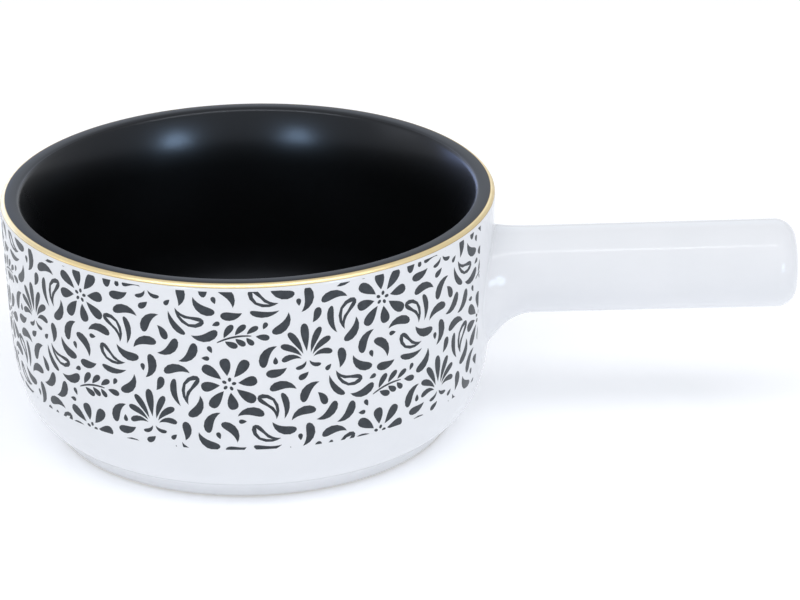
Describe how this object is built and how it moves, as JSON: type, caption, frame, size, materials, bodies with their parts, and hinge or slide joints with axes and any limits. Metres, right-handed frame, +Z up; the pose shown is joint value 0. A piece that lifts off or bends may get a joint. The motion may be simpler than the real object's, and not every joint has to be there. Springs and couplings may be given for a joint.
{
  "type": "fondue pot",
  "caption": "Deep round stoneware fondue pot with a flared stick handle, white outside with a dark leaf print, black inside, a gold rim line and a flat ground base.",
  "frame": {"origin": "centre of the flat base, on the bowl's axis", "axes": "+Z up along the bowl's axis, +X along the handle, away from the bowl"},
  "size_m": [0.3552, 0.2204, 0.1092],
  "materials": {
    "stoneware": "matte",
    "slip": "matte",
    "white_glaze": "gloss",
    "black_glaze": "satin",
    "gold": "satin",
    "print": "satin"
  },
  "bodies": {
    "root": {"bowl_body": "stoneware", "handle_body": "stoneware", "luting_slip": "slip", "inner_glaze": "black_glaze", "outer_glaze": "white_glaze", "handle_glaze": "white_glaze", "gold_line": "gold", "printed_transfer": "print"}
  },
  "joints": []
}
